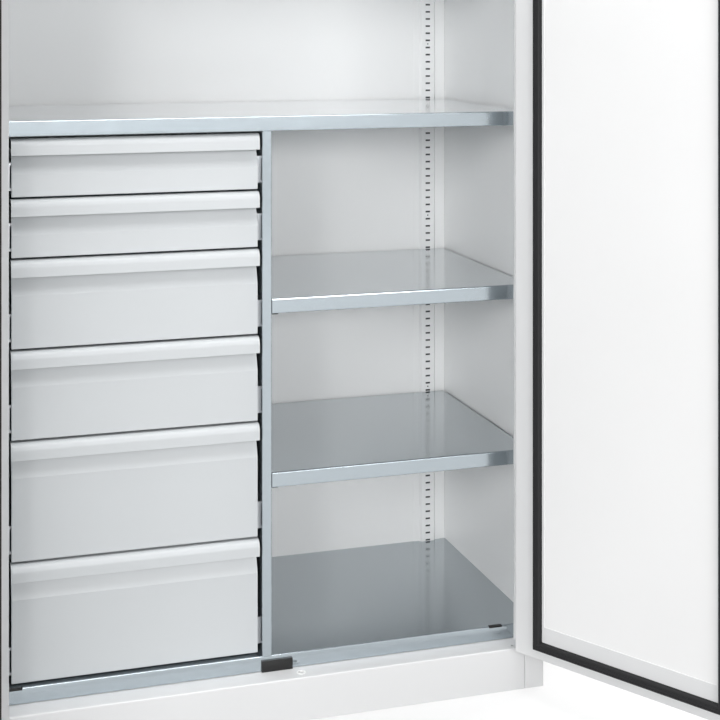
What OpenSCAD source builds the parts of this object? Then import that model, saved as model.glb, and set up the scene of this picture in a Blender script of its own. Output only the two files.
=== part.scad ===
// Heavy-duty storage cabinet: two sealed doors, a stack of drawers on the left,
// adjustable galvanised shelves, and a turning handle that drives two locking rods.
// Origin: centre of the footprint, on the floor. The doors face -Y. Doors rest open.

/* [Cabinet] */
// Overall width
body_w = 1000; // [900:10:1200]
// Overall depth
body_d = 500; // [450:10:650]
// Overall height
body_h = 1950; // [1800:10:2200]
// Thickness of the painted body sheets
wall_t = 1.5; // [1:0.25:2]
// Thickness of the back sheet
back_t = 1; // [0.8:0.1:1.5]
// Width of the front face of each corner post
post_w = 36.5; // [34:0.5:50]
// How far each post's return turns into the opening
jamb_lip = 4.2; // [2:0.2:8]
// Depth from the front face to the galvanised lips
door_recess = 42; // [38:0.5:50]
// Height of the plinth up to the sill
plinth_h = 74; // [60:1:150]
// Height of the header above the doors
header_h = 34; // [28:1:60]
// Gap between the plinth or header and the posts
seam = 1; // [0.4:0.1:1.5]

/* [Floor and shelves] */
// Thickness of the galvanised sheets
zinc_t = 1.2; // [0.8:0.1:1.6]
// Height of the shelves' front and rear lips
lip_h = 26; // [20:1:35]
// Height of the floor's front lip
floor_lip_h = 25; // [20:1:35]
// Gap between the floor's front lip and the sill
lip_gap = 1; // [0.5:0.1:1.5]
// Width of the slot cut into the floor's front bend
floor_slot_w = 25; // [10:1:40]
// Distance of that slot's centre from the post face
floor_slot_in = 39; // [30:1:60]
// Height of the lower right shelf above the floor plate
low_shelf = 315; // [150:15:450]
// Height of the upper right shelf above the floor plate
high_shelf = 615; // [480:15:750]
// Clear step from the middle shelf to the next full-width shelf
first_step = 300; // [150:15:330]
// Step from that shelf to the top shelf
second_step = 300; // [150:15:330]
// Thickness of the partition
partition_w = 17; // [16:0.5:40]
// Width of the partition's flat front face
partition_face = 17; // [14:0.5:20]

/* [Slotted rails] */
// Pitch of the shelf slots
slot_pitch = 15; // [15:5:25]
// Width of a slot
slot_w = 10; // [8:0.5:14]
// Height of a slot
slot_h = 3.5; // [3.3:0.1:5]
// Number of slots between two marking holes
mark_every = 24; // [6:1:40]
// Diameter of a marking hole
mark_d = 3; // [2:0.5:4]
// Width of the raised face of a rail
rail_face = 27; // [22:1:34]
// Width of each sloped side of a rail
rail_slope = 4; // [2:0.5:6]
// Width of each flange of a rail
rail_flange = 11.5; // [6:0.5:14]
// Height of the raised face above the wall
rail_depth = 7; // [5:0.5:10]
// Distance from a rear rail's centre to the side wall
rear_rail_in = 40.5; // [32:0.5:60]
// Distance from a front rail's centre to the lip plane
front_rail_in = 38; // [32:1:60]
// Thickness of a shelf clip
clip_t = 3; // [2:0.1:3.2]
// How far a shelf clip stands out of its rail
clip_reach = 13; // [10:1:20]

/* [Drawers] */
// Height taken by each of the two bottom drawers
tall_drawer = 200; // [150:5:205]
// Height taken by each of the two middle drawers
mid_drawer = 150; // [120:5:160]
// Height taken by each of the two top drawers
low_drawer = 100; // [95:5:110]
// Gap between two drawer fronts
front_gap = 3.5; // [2:0.5:5]
// Height of the first drawer front above the floor plate
stack_base = 3.5; // [3:0.5:10]
// How far the flat fronts lie behind the lips
front_set = 11; // [10.5:0.5:20]
// Thickness of the drawer sheets
drawer_t = 1.2; // [0.8:0.1:1.6]
// Gap between a front and the partition or upright
side_gap = 5.7; // [2.8:0.1:6]
// Distance from the left post face to the uprights' inner face
upright_in = 29; // [27:1:60]
// Width of an upright along the depth
upright_w = 30; // [20:1:40]
// Height of the rounded handle lip
handle_h = 27.3; // [22:0.1:34]
// How far the handle lip stands forward
handle_out = 10.5; // [6:0.5:10.5]
// Bend radius of the handle lip
handle_r = 12; // [4:0.5:13]
// How far the handle lip runs past each end of its front
handle_over = 1.5; // [0:0.1:2]
// Height of the sloped band under the handle
slope_h = 32; // [20:1:32]
// Depth of the finger space behind the handle
slope_d = 12; // [8:0.5:16]
// Length of a drawer tray
tray_l = 390; // [300:5:390]
// Height of a telescopic runner
runner_h = 46; // [35:1:50]
// Width of a telescopic runner
runner_w = 13.5; // [12:0.5:16]
// Running gap inside a runner
runner_gap = 0.3; // [0.2:0.05:0.6]

/* [Doors] */
// Angle at which the doors rest open
door_open = 120; // [90:5:170]
// Thickness of a door
door_t = 31; // [28:0.5:34]
// Thickness of the door sheets
door_sheet = 1.2; // [0.8:0.1:1.5]
// Gap around a door
door_gap = 2; // [1.5:0.1:3]
// Extra gap above the sill and under the header
door_lift = 1; // [0:0.5:3]
// Width of the frame round the inner panel
door_frame = 62; // [60:1:90]
// Distance from a door's side edge to its seal
seal_side = 42; // [30:1:44]
// Distance from a door's top or bottom edge to its seal
seal_end = 16.5; // [16:0.5:30]
// Width of the seal
seal_w = 15; // [10:0.5:16]
// Thickness of the seal
seal_h = 9.5; // [6:0.5:10]
// Width of the seal's raised ridge
ridge_w = 7; // [4:0.5:8]
// Width of the strip that covers the gap between the doors
strip_w = 44; // [30:1:60]
// Outer diameter of a hinge knuckle
knuckle_d = 10; // [9:0.5:12]
// Diameter of a hinge pin
pin_d = 5; // [4:0.5:6]
// Length of each half of a hinge
knuckle_l = 32; // [24:1:50]
// Thickness of a hinge leaf
leaf_t = 2; // [1.5:0.25:2.5]
// Width of a hinge leaf
leaf_w = 24; // [16:1:28]
// Distance from a door's end to the nearest hinge's middle
hinge_end = 180; // [100:10:300]

/* [Lock] */
// Height of the handle above the floor
lock_z = 1050; // [900:10:1200]
// Distance from the middle of the cabinet to the rods
rod_x = 55; // [50:1:60]
// Diameter of a locking rod
rod_d = 8; // [6:0.5:10]
// Diameter of the holes that take the rods
rod_hole_d = 13; // [11.5:0.5:16]
// Travel of a locking rod
rod_travel = 14; // [10:0.5:16]
// Diameter of the handle's spindle
spindle_d = 16; // [12:1:18]
// Diameter of the cam
cam_d = 30; // [28:1:36]
// Diameter of a cam pin
cam_pin_d = 4; // [3:0.5:5]
// Diameter of the handle's hub
hub_d = 36; // [30:1:44]
// Length of the handle lever from the spindle
lever_l = 118; // [90:1:150]
// Width of the lever
lever_w = 20; // [14:1:26]
// Thickness of the lever
lever_t = 11; // [8:1:16]
// Diameter of the lock cylinder
cylinder_d = 18; // [14:0.5:22]
// Diameter of the key's bow
bow_d = 24; // [18:1:30]

/* [Base] */
// Distance from a side of the cabinet to the nearest floor anchor
anchor_side = 60; // [55:1:75]
// Distance from the front or back to the nearest floor anchor
anchor_end = 70; // [66:1:90]
// Diameter of the floor anchor holes
anchor_d = 11; // [9:0.5:14]
// Diameter of the levelling screws
foot_d = 10; // [8:0.5:12]
// Thickness of the base rails
base_t = 2; // [1.5:0.25:3]
// Thickness of the corner plates
plate_t = 4; // [3:0.5:6]
// Side of a corner plate
plate_w = 90; // [80:1:100]
// Width of the base rails' flanges
rail_w = 30; // [20:1:40]
// Distance from a side of the cabinet to the nearest wall fixing hole
wall_hole_side = 100; // [85:5:200]
// Distance from the top to the wall fixing holes
wall_hole_top = 100; // [60:5:200]
// Diameter of the wall fixing holes
wall_hole_d = 9; // [6:0.5:12]

/* [Hidden] */
DRAWERS = [1, 2, 3, 4, 5, 6];
$fn = 48;

paint = [0.86, 0.87, 0.87];
inner_white = [0.96, 0.96, 0.96];
zinc = [0.70, 0.74, 0.76];
dark = [0.15, 0.15, 0.16];
steel = [0.55, 0.56, 0.58];

fit = 0.04;           // radial clearance of a running fit
slack = 0.3;          // clearance between sheets that are slid together
bend_clear = 0.9;     // a square edge stops this far short of another sheet's bend
face_gap = 0.2;       // clearance between faces that meet when the doors close
stop_h = 19;          // height of a stop at the middle of the opening
guide_end = 60;       // distance from a door's end to the nearest rod guide
guide_h = 12;         // height of a rod guide
foot_l = 40;          // length of a levelling screw

half_w = body_w / 2;
anchor_x = body_w - 2 * anchor_side;
anchor_y = body_d - 2 * anchor_end;
wall_hole_x = body_w - 2 * wall_hole_side;
front_y = -body_d / 2;
back_y = body_d / 2;
inner_x = half_w - wall_t;
post_x = half_w - post_w;
lip_y = front_y + door_recess;
back_in = back_y - wall_t - back_t;
shelf_back = back_in - rail_depth - 0.5;
floor_z = plinth_h + lip_gap + floor_lip_h;
header_z = body_h - header_h;
roof_under = body_h - wall_t;
shelf_end = inner_x - rail_depth - 0.5;

stack_h = 2 * (tall_drawer + mid_drawer + low_drawer);
deck = slot_pitch * ceil((stack_base + stack_h + lip_h) / slot_pitch);
deck_under = floor_z + deck - lip_h;
upper = deck + first_step;
top = upper + second_step;
under_lip = slot_pitch - (lip_h + clip_t / 2) % slot_pitch;
slot_first = under_lip < slot_h / 2 + 0.5 ? under_lip + slot_pitch : under_lip;
slot_count = floor((header_z - lip_h - floor_z - slot_first - slot_h) / slot_pitch);
rail_z1 = floor_z + slot_first + slot_pitch * (slot_count - 0.5);
rear_rail_x = inner_x - rear_rail_in;
front_rail_y = lip_y + front_rail_in;
part_x = partition_w / 2;
clip_y = lip_y + clip_reach;
clip_rear_y = shelf_back - clip_reach;
clip_w = slot_w - 0.6;

front_y0 = lip_y + front_set;
tray_y0 = front_y0 + slope_d;
front_x1 = -part_x - side_gap;
upright_x = -post_x + upright_in;
front_x0 = upright_x + side_gap;
tray_x0 = upright_x + runner_w;
tray_x1 = -part_x - runner_w;
runner_y0 = tray_y0 + 1;
runner_t = 1.5;

hinge_x = post_x;
hinge_y = front_y;
door_x0 = door_gap;
door_x1 = post_x - door_gap;
door_z0 = plinth_h + door_gap + door_lift;
door_z1 = header_z - door_gap - door_lift;
door_in = front_y + door_t;
skin_in = front_y + door_sheet;
hinge_z = [door_z0 + hinge_end, (door_z0 + door_z1) / 2, door_z1 - hinge_end];
knuckle_r = knuckle_d / 2;
notch_r = knuckle_r + 0.6;

rod_y = front_y + 20;
rod_r = rod_d / 2;
cam_y = front_y + 7;
cam_t = 5;
arm_y = cam_y + cam_t + 1;
arm_t = 4;
crank_r = rod_travel / sqrt(2);
pin_at = crank_r / sqrt(2);
rose_t = 8;
hub_t = 22;
hub_y = front_y - rose_t - slack;
cylinder_l = 18;

// Folded sheets: a path of [x, y, bend radius] points is the middle of the sheet.
function unit(v) = v / norm(v);
function left(v) = [-v[1], v[0]];
function turn(v, a) = [v[0] * cos(a) - v[1] * sin(a), v[0] * sin(a) + v[1] * cos(a)];
function flat(p) = [p[0], p[1]];

function bend(p, q, s, r, n) =
    let (
        a = unit(p - q),
        b = unit(s - q),
        half = acos(a * b) / 2,
        centre = q + unit(a + b) * r / sin(half),
        side = cross(q - p, s - q) > 0 ? 1 : -1,
        start = -left(unit(q - p)) * side
    )
    [for (i = [0:n])
        let (w = turn(start, side * (180 - 2 * half) * i / n))
        [centre + r * w, -side * w]];

function fold(path) =
    let (last = len(path) - 1)
    [
        [flat(path[0]), left(unit(flat(path[1]) - flat(path[0])))],
        for (i = [1:1:last - 1])
            each bend(flat(path[i - 1]), flat(path[i]), flat(path[i + 1]), path[i][2],
                path[i][2] > 4 ? 12 : 4),
        [flat(path[last]), left(unit(flat(path[last]) - flat(path[last - 1])))]
    ];

module folded(path, t) {
    f = fold(path);
    polygon(concat(
        [for (p = f) p[0] + p[1] * t / 2],
        [for (i = [len(f) - 1:-1:0]) f[i][0] - f[i][1] * t / 2]
    ));
}

// A section drawn in the depth and height, run along the width from x0 to x1.
module along_x(x0, x1) {
    translate([x0, 0, 0]) rotate([90, 0, 90]) linear_extrude(x1 - x0) children();
}

// A section drawn in the width and depth, run upwards from z0 to z1.
module upwards(z0, z1) {
    translate([0, 0, z0]) linear_extrude(z1 - z0) children();
}

module block(lo, hi) {
    translate(lo) cube(hi - lo);
}

// A round bar along the depth, from y0 to y1.
module bar_y(x, z, y0, y1, d) {
    translate([x, y0, z]) rotate([-90, 0, 0]) cylinder(h = y1 - y0, d = d);
}

module bar_z(x, y, z0, z1, d) {
    translate([x, y, z0]) cylinder(h = z1 - z0, d = d);
}

module both_sides() {
    children();
    mirror([1, 0, 0]) children();
}

// Swings a closed right door's pieces to the angle at which they rest.
module swung() {
    translate([hinge_x, hinge_y, 0])
        rotate([0, 0, door_open])
            translate([-hinge_x, -hinge_y, 0])
                children();
}

module left_door() {
    mirror([1, 0, 0]) swung() children();
}

// Carcass
module side_wall() {
    h = wall_t / 2;
    jamb_y = lip_y - 0.5 - h;
    r = wall_t;
    difference() {
        upwards(0, roof_under)
            folded([
                [post_x - jamb_lip, jamb_y, 0],
                [post_x + h, jamb_y, r],
                [post_x + h, front_y + h, r],
                [half_w - h, front_y + h, r],
                [half_w - h, back_y - h, r],
                [inner_x - 18, back_y - h, 0]
            ], wall_t);
        for (z = hinge_z)
            bar_z(hinge_x, hinge_y, z - knuckle_l - 1, z + knuckle_l + 4, 2 * notch_r);
    }
}

module side_wall_right() { color(paint) side_wall(); }
module side_wall_left() { color(paint) mirror([1, 0, 0]) side_wall(); }

module back_wall() {
    color(paint)
    difference() {
        block([-inner_x + bend_clear, back_in, 0],
            [inner_x - bend_clear, back_in + back_t, roof_under]);
        for (x = [-wall_hole_x / 2, wall_hole_x / 2])
            bar_y(x, body_h - wall_hole_top, back_in - 1, back_y, wall_hole_d);
    }
}

module roof_panel() {
    h = wall_t / 2;
    x1 = post_x - seam;
    color(paint)
    difference() {
        union() {
            block([-half_w, front_y, roof_under], [half_w, back_y, body_h]);
            along_x(-x1, x1)
                folded([
                    [front_y + h, body_h - h, 0],
                    [front_y + h, header_z + h, wall_t],
                    [lip_y + h, header_z + h, wall_t],
                    [lip_y + h, header_z - lip_h, 0]
                ], wall_t);
        }
        bar_z(rod_x, rod_y, header_z - 1, header_z + 3, rod_hole_d);
    }
}

module plinth_front() {
    h = wall_t / 2;
    x1 = post_x - seam;
    color(paint)
    difference() {
        along_x(-x1, x1)
            folded([
                [front_y + h, 0, 0],
                [front_y + h, plinth_h - h, wall_t],
                [lip_y + 8, plinth_h - h, 0]
            ], wall_t);
        bar_z(rod_x, rod_y, plinth_h - 3, plinth_h + 1, rod_hole_d);
        both_sides()
            bar_z(post_x - 19, front_y + 14, plinth_h - 3, plinth_h + 1, 5);
    }
}

module base_rail(y0, dir) {
    h = base_t / 2;
    z1 = floor_z - zinc_t - h;
    along_x(-inner_x, inner_x)
        folded([
            [y0 + dir * rail_w, z1, 0],
            [y0 + dir * h, z1, base_t],
            [y0 + dir * h, h, base_t],
            [y0 + dir * rail_w, h, 0]
        ], base_t);
}

module corner_plate(y0) {
    foot_x = (anchor_x / 2 + inner_x) / 2 + 4;
    difference() {
        block([inner_x - plate_w, y0, 0], [inner_x, y0 + plate_w, plate_t]);
        for (y = [-anchor_y / 2, anchor_y / 2]) {
            bar_z(anchor_x / 2, y, -1, plate_t + 1, anchor_d);
            bar_z(foot_x, y, -1, plate_t + 1, foot_d + 2 * fit);
        }
    }
}

module base_frame() {
    rail_y0 = lip_y + 8;
    h = base_t / 2;
    z1 = floor_z - zinc_t - h;
    foot_x = (anchor_x / 2 + inner_x) / 2 + 4;
    color(steel)
    difference() {
        union() {
            base_rail(rail_y0, 1);
            base_rail(back_in, -1);
            both_sides() {
                corner_plate(rail_y0);
                corner_plate(back_in - plate_w);
                translate([0, back_in - rail_w, 0]) rotate([90, 0, 0])
                    linear_extrude(back_in - rail_y0 - 2 * rail_w)
                        folded([
                            [inner_x - 25, z1, 0],
                            [inner_x - h, z1, base_t],
                            [inner_x - h, h, base_t],
                            [inner_x - 12, h, 0]
                        ], base_t);
            }
        }
        both_sides()
            for (y = [-anchor_y / 2, anchor_y / 2]) {
                bar_z(anchor_x / 2, y, -1, plate_t + 2, anchor_d);
                bar_z(foot_x, y, -1, plate_t + 2, foot_d + 2 * fit);
            }
    }
}

module levelling_screws() {
    foot_x = (anchor_x / 2 + inner_x) / 2 + 4;
    color(steel)
    both_sides()
        for (y = [-anchor_y / 2, anchor_y / 2]) {
            bar_z(foot_x, y, 0, foot_l, foot_d);
            translate([foot_x, y, plate_t]) cylinder(h = 8, d = 1.9 * foot_d, $fn = 6);
        }
}

module floor_plate() {
    h = zinc_t / 2;
    slot_x = post_x - floor_slot_in;
    color(zinc)
    difference() {
        along_x(-inner_x, inner_x)
            folded([
                [lip_y + h, floor_z - floor_lip_h, 0],
                [lip_y + h, floor_z - h, 1.8],
                [back_in, floor_z - h, 0]
            ], zinc_t);
        both_sides()
            block([slot_x - floor_slot_w / 2, lip_y - 1, floor_z - 3],
                [slot_x + floor_slot_w / 2, lip_y + 7, floor_z + 1]);
    }
}

function slot_z(k) = floor_z + slot_first + slot_pitch * k;

module slot_row(count) {
    for (k = [0:count - 1])
        translate([0, slot_z(k)]) square([slot_w, slot_h], center = true);
    for (k = [mark_every - 2.5:mark_every:count - 1])
        translate([0, slot_z(k)]) circle(d = mark_d, $fn = 24);
}

// A hat-shaped rail on a wall at y = 0, raised towards -Y, centred on x = 0.
module slot_rail() {
    t = zinc_t;
    h = t / 2;
    f = rail_face / 2;
    b = f + rail_slope;
    w = b + rail_flange;
    upwards(floor_z, rail_z1)
        for (m = [0, 1]) mirror([m, 0, 0])
            folded([
                [w, -h, 0],
                [b, -h, 1],
                [f, -rail_depth + h, 1],
                [f - 4, -rail_depth + h, 0]
            ], t);
    translate([0, -rail_depth + t, 0]) rotate([90, 0, 0]) linear_extrude(t)
        difference() {
            translate([-f + 4, floor_z]) square([rail_face - 8, rail_z1 - floor_z]);
            slot_row(slot_count);
        }
}

module slot_rails_rear() {
    color(paint) both_sides() translate([rear_rail_x, back_in, 0]) slot_rail();
}

module slot_rails_front() {
    color(paint) both_sides()
        translate([inner_x, front_rail_y, 0]) rotate([0, 0, -90]) slot_rail();
}

module partition() {
    t = zinc_t;
    h = t / 2;
    face = -part_x + partition_face;
    row = floor((deck_under - floor_z) / slot_pitch);
    color(zinc) {
        upwards(floor_z, deck_under)
            folded([
                [-part_x + h, back_in, 0],
                [-part_x + h, lip_y + h, t],
                [face - h, lip_y + h, t],
                [face - h, lip_y + 4, 0]
            ], t);
        block([face - t, lip_y + 4, floor_z], [part_x, lip_y + 4 + t, deck_under]);
        block([-part_x + t, back_in - t, floor_z], [part_x - t, back_in, deck_under]);
        translate([part_x - t, 0, 0]) rotate([90, 0, 90]) linear_extrude(t)
            difference() {
                translate([lip_y + 4, floor_z])
                    square([back_in - lip_y - 4, deck_under - floor_z]);
                translate([clip_y, 0]) slot_row(row);
                translate([clip_rear_y, 0]) slot_row(row);
            }
    }
}

module upright(y0) {
    t = zinc_t;
    h = t / 2;
    x0 = -inner_x + rail_depth;
    upwards(floor_z, deck_under)
        folded([
            [x0, y0 + h, 0],
            [upright_x - h, y0 + h, t],
            [upright_x - h, y0 + upright_w - h, t],
            [upright_x - 20, y0 + upright_w - h, 0]
        ], t);
}

module runner_uprights() {
    y_rear = runner_y0 + tray_l - upright_w;
    color(zinc) {
        upright(lip_y);
        upright(y_rear);
        for (z = [floor_z, deck_under - 40])
            block([-inner_x, y_rear + zinc_t, z], [upright_x - zinc_t, y_rear + 3, z + 40]);
    }
}

// A shelf with hemmed front and rear lips and plain side lips. Its top is at z.
module shelf(x0, x1, z) {
    t = zinc_t;
    h = t / 2;
    y0 = lip_y;
    y1 = shelf_back;
    zl = z - lip_h + h;
    color(zinc) {
        along_x(x0, x1)
            folded([
                [y0 + 10, zl, 0],
                [y0 + h, zl, t],
                [y0 + h, z - h, 1.8],
                [y1 - h, z - h, 1.8],
                [y1 - h, zl, t],
                [y1 - 10, zl, 0]
            ], t);
        for (x = [x0, x1 - t])
            block([x, y0 + t, z - lip_h], [x + t, y1 - t, z - h]);
    }
}

module shelf_top() { shelf(-shelf_end, shelf_end, floor_z + top); }
module shelf_upper() { shelf(-shelf_end, shelf_end, floor_z + upper); }
module shelf_middle() { shelf(-shelf_end, shelf_end, floor_z + deck); }
module shelf_right_upper() { shelf(part_x + 0.5, shelf_end, floor_z + high_shelf); }
module shelf_right_lower() { shelf(part_x + 0.5, shelf_end, floor_z + low_shelf); }

// A clip that hooks into a slot and stands out towards -Y. The lip rests on it.
module clip(z) {
    block([-clip_w / 2, -clip_reach, z - lip_h - clip_t],
        [clip_w / 2, 4, z - lip_h]);
    block([-clip_w / 2, -1.5, z - lip_h - 16], [clip_w / 2, 0, z - lip_h]);
}

module shelf_clips() {
    full = [for (s = [deck, upper, top]) floor_z + s];
    half = [for (s = [low_shelf, high_shelf]) floor_z + s];
    color(dark) {
        for (z = full, side = [0, 1]) mirror([side, 0, 0]) outer_clips(z);
        for (z = half) {
            outer_clips(z);
            for (y = [clip_y, clip_rear_y])
                translate([part_x, y, 0]) rotate([0, 0, 90]) clip(z);
        }
    }
}

module outer_clips(z) {
    translate([rear_rail_x, back_in - rail_depth, 0]) clip(z);
    translate([inner_x - rail_depth, front_rail_y, 0]) rotate([0, 0, -90]) clip(z);
}

module centre_stops() {
    color(dark)
    for (z = [[plinth_h, plinth_h + stop_h], [header_z - stop_h, header_z - bend_clear]])
        block([-10, lip_y - 4, z[0]], [rod_x - 10.4, lip_y, z[1]]);
}

// Hinges: the axis is the post's front corner.
module knuckle(z0) {
    bar_z(hinge_x, hinge_y, z0, z0 + knuckle_l, knuckle_d);
}

module knuckle_bore(z0) {
    bar_z(hinge_x, hinge_y, z0 - 1, z0 + knuckle_l + 1, pin_d + 2 * fit);
}

module leaf(x0, x1, y0, z0) {
    block([x0, y0, z0], [x1, y0 + leaf_t, z0 + knuckle_l]);
}

module post_hinge_leaves() {
    color(steel) both_sides()
        for (z = hinge_z)
            difference() {
                union() {
                    knuckle(z - knuckle_l - 0.25);
                    leaf(hinge_x + wall_t, hinge_x + leaf_w, front_y + wall_t, z - knuckle_l - 0.25);
                }
                knuckle_bore(z - knuckle_l - 0.25);
            }
}

module hinge_pins() {
    color(steel) both_sides()
        for (z = hinge_z) {
            bar_z(hinge_x, hinge_y, z - knuckle_l - 0.25, z + knuckle_l + 0.5, pin_d);
            bar_z(hinge_x, hinge_y, z + knuckle_l + 0.5, z + knuckle_l + 3, knuckle_d - 1);
        }
}

module door_leaves() {
    color(steel)
    for (z = hinge_z)
        difference() {
            union() {
                knuckle(z + 0.25);
                leaf(hinge_x - leaf_w, hinge_x, skin_in, z + 0.25);
            }
            knuckle_bore(z + 0.25);
        }
}

module door_right_hinge_leaves() { swung() door_leaves(); }
module door_left_hinge_leaves() { left_door() door_leaves(); }

// Doors, drawn closed on the right-hand side
module door_shell() {
    t = door_sheet;
    h = t / 2;
    color(paint)
    difference() {
        union() {
            upwards(door_z0, door_z1)
                folded([
                    [door_x0 + door_frame, door_in - h, 0],
                    [door_x0 + h, door_in - h, t],
                    [door_x0 + h, front_y + h, t],
                    [door_x1 - h, front_y + h, t],
                    [door_x1 - h, door_in - h, t],
                    [door_x1 - door_frame, door_in - h, 0]
                ], t);
            for (z = [door_z0, door_z1 - t])
                block([door_x0 + h, front_y + h, z], [door_x1 - h, door_in - h, z + t]);
            for (z = [door_z0, door_z1 - door_frame + 3])
                block([door_x0 + h, door_in - t, z], [door_x1 - h, door_in, z + door_frame - 3]);
        }
        for (z = hinge_z)
            bar_z(hinge_x, hinge_y, z - knuckle_l - 1, z + knuckle_l + 4, 2 * notch_r);
        children();
    }
}

module door_right_skin() {
    swung() door_shell() {
        union() {
            bar_z(rod_x, rod_y, door_z0 - 1, door_z0 + 2, rod_d + 1);
            bar_z(rod_x, rod_y, door_z1 - 2, door_z1 + 1, rod_d + 1);
            bar_y(rod_x, lock_z, front_y - 1, skin_in + 1, spindle_d + 1);
        }
    }
}

module door_left_skin() { left_door() door_shell(); }

module door_sheet_panel() {
    y1 = door_in - door_sheet;
    color(inner_white)
        block([door_x0 + door_frame - 10, y1 - 1, door_z0 + door_frame - 13],
            [door_x1 - door_frame + 10, y1, door_z1 - door_frame + 13]);
}

module door_right_panel() { swung() door_sheet_panel(); }
module door_left_panel() { left_door() door_sheet_panel(); }

// One step of the seal: a flat ring, inset from the seal's outer edge.
module seal_ring(inset, y0, y1) {
    x0 = door_x0 + seal_side + inset;
    x1 = door_x1 - seal_side - inset;
    z0 = door_z0 + seal_end + inset;
    z1 = door_z1 - seal_end - inset;
    w = seal_w - 2 * inset;
    difference() {
        block([x0, y0, z0], [x1, y1, z1]);
        block([x0 + w, y0 - 1, z0 + w], [x1 - w, y1 + 1, z1 - w]);
    }
}

module door_seal() {
    edge = (seal_w - ridge_w) / 2;
    color(dark) {
        seal_ring(0, door_in, door_in + seal_h * 0.45);
        seal_ring(edge * 0.5, door_in, door_in + seal_h * 0.75);
        seal_ring(edge, door_in, door_in + seal_h);
    }
}

module door_right_seal() { swung() door_seal(); }
module door_left_seal() { left_door() door_seal(); }

module meeting_strip() {
    t = door_sheet;
    color(paint) left_door()
        block([door_x0 - 16, door_in + face_gap, door_z0 + 30],
            [door_x0 - 16 + strip_w, door_in + face_gap + t, door_z1 - 30]);
}

// Lock, drawn on the closed right door
module lock_plate() {
    color(steel) swung()
        difference() {
            block([rod_x - 28, skin_in, lock_z - 55], [rod_x + 28, skin_in + 2, lock_z + 55]);
            bar_y(rod_x, lock_z, skin_in - 1, skin_in + 3, spindle_d + 2 * fit);
        }
}

module handle_rose() {
    color(dark) swung()
        difference() {
            bar_y(rod_x, lock_z, front_y - rose_t, front_y, hub_d + 12);
            bar_y(rod_x, lock_z, front_y - rose_t - 1, front_y + 1, spindle_d + 2 * fit);
        }
}

module handle_cam() {
    color(steel) swung() {
        bar_y(rod_x, lock_z, hub_y, cam_y + cam_t, spindle_d);
        bar_y(rod_x, lock_z, cam_y, cam_y + cam_t, cam_d);
        for (s = [-1, 1])
            bar_y(rod_x + s * pin_at, lock_z + s * pin_at, cam_y, arm_y + arm_t + 1, cam_pin_d);
    }
}

module handle_lever() {
    y0 = hub_y - hub_t;
    color(dark) swung()
        difference() {
            union() {
                bar_y(rod_x, lock_z, y0, hub_y, hub_d);
                block([rod_x, y0, lock_z - lever_w / 2],
                    [rod_x + lever_l - lever_w / 2, y0 + lever_t, lock_z + lever_w / 2]);
                bar_y(rod_x + lever_l - lever_w / 2, lock_z, y0, y0 + lever_t, lever_w);
            }
            bar_y(rod_x, lock_z, y0 - 1, y0 + cylinder_l, cylinder_d + 2 * fit);
        }
}

module key_slot(extra) {
    y0 = hub_y - hub_t;
    block([rod_x - 1.1 - extra, y0 - 1, lock_z - 3.8 - extra],
        [rod_x + 1.1 + extra, y0 + 13 + extra, lock_z + 3.8 + extra]);
}

module lock_cylinder() {
    y0 = hub_y - hub_t;
    color(steel) swung()
        difference() {
            bar_y(rod_x, lock_z, y0, y0 + cylinder_l, cylinder_d);
            key_slot(0.1);
        }
}

module key() {
    y0 = hub_y - hub_t;
    bow_z = lock_z;
    color("silver") swung()
        difference() {
            union() {
                key_slot(0);
                block([rod_x - 1.1, y0 - 8, lock_z - 3.8], [rod_x + 1.1, y0, lock_z + 3.8]);
                translate([rod_x - 1.1, y0 - 8 - bow_d / 2 + 2, bow_z]) rotate([0, 90, 0])
                    cylinder(h = 2.2, d = bow_d);
            }
            translate([rod_x - 3, y0 - 8 - bow_d * 0.7, bow_z]) rotate([0, 90, 0])
                cylinder(h = 6, d = bow_d / 4);
        }
}

// A locking rod. up is 1 for the rod that runs upwards and -1 for the other.
module locking_rod(up) {
    tip = up > 0 ? door_z1 - 0.5 : door_z0 + 0.5;
    start = lock_z + up * 26;
    side = -up;
    slot = cam_pin_d + 1.2;
    pin_z = lock_z - up * pin_at;
    arm_in = pin_at - cam_pin_d / 2 - 3;
    arm_out = crank_r + cam_pin_d / 2 + 3;
    x_in = rod_x + side * arm_in;
    x_out = rod_x + side * arm_out;
    color(steel) swung()
        difference() {
            union() {
                bar_z(rod_x, rod_y, min(start, tip), max(start, tip), rod_d);
                block([min(x_in, x_out), arm_y, min(pin_z - up * 6, start + up * 8)],
                    [max(x_in, x_out), arm_y + arm_t, max(pin_z - up * 6, start + up * 8)]);
                block([min(rod_x - side * rod_r, x_out), arm_y, min(start, start + up * 8)],
                    [max(rod_x - side * rod_r, x_out), rod_y, max(start, start + up * 8)]);
            }
            block([min(x_in + side * 1, x_out - side * 1), arm_y - 1, pin_z - slot / 2],
                [max(x_in + side * 1, x_out - side * 1), arm_y + arm_t + 1, pin_z + slot / 2]);
        }
}

module rod_lower() { locking_rod(-1); }
module rod_upper() { locking_rod(1); }

module rod_guides() {
    lower = door_z0 + guide_end;
    upper = door_z1 - guide_end - guide_h;
    color(dark) swung()
        for (z = [lower, (lower + lock_z) / 2, (lock_z + door_z1) / 2, upper])
            difference() {
                block([rod_x - 12, skin_in, z], [rod_x + 12, rod_y + rod_r + 3, z + guide_h]);
                bar_z(rod_x, rod_y, z - 1, z + guide_h + 1, rod_d + 2 * fit);
            }
}

// Drawers, counted from the top
heights = [low_drawer, low_drawer, mid_drawer, mid_drawer, tall_drawer, tall_drawer];
function below(n) = n >= 6 ? 0 : heights[n] + below(n + 1);
function drawer_z(n) = floor_z + stack_base + below(n);
function drawer_top(n) = drawer_z(n) + heights[n - 1] - front_gap;
function runner_z(n) = drawer_z(n) + 10 + runner_h / 2;

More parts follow.
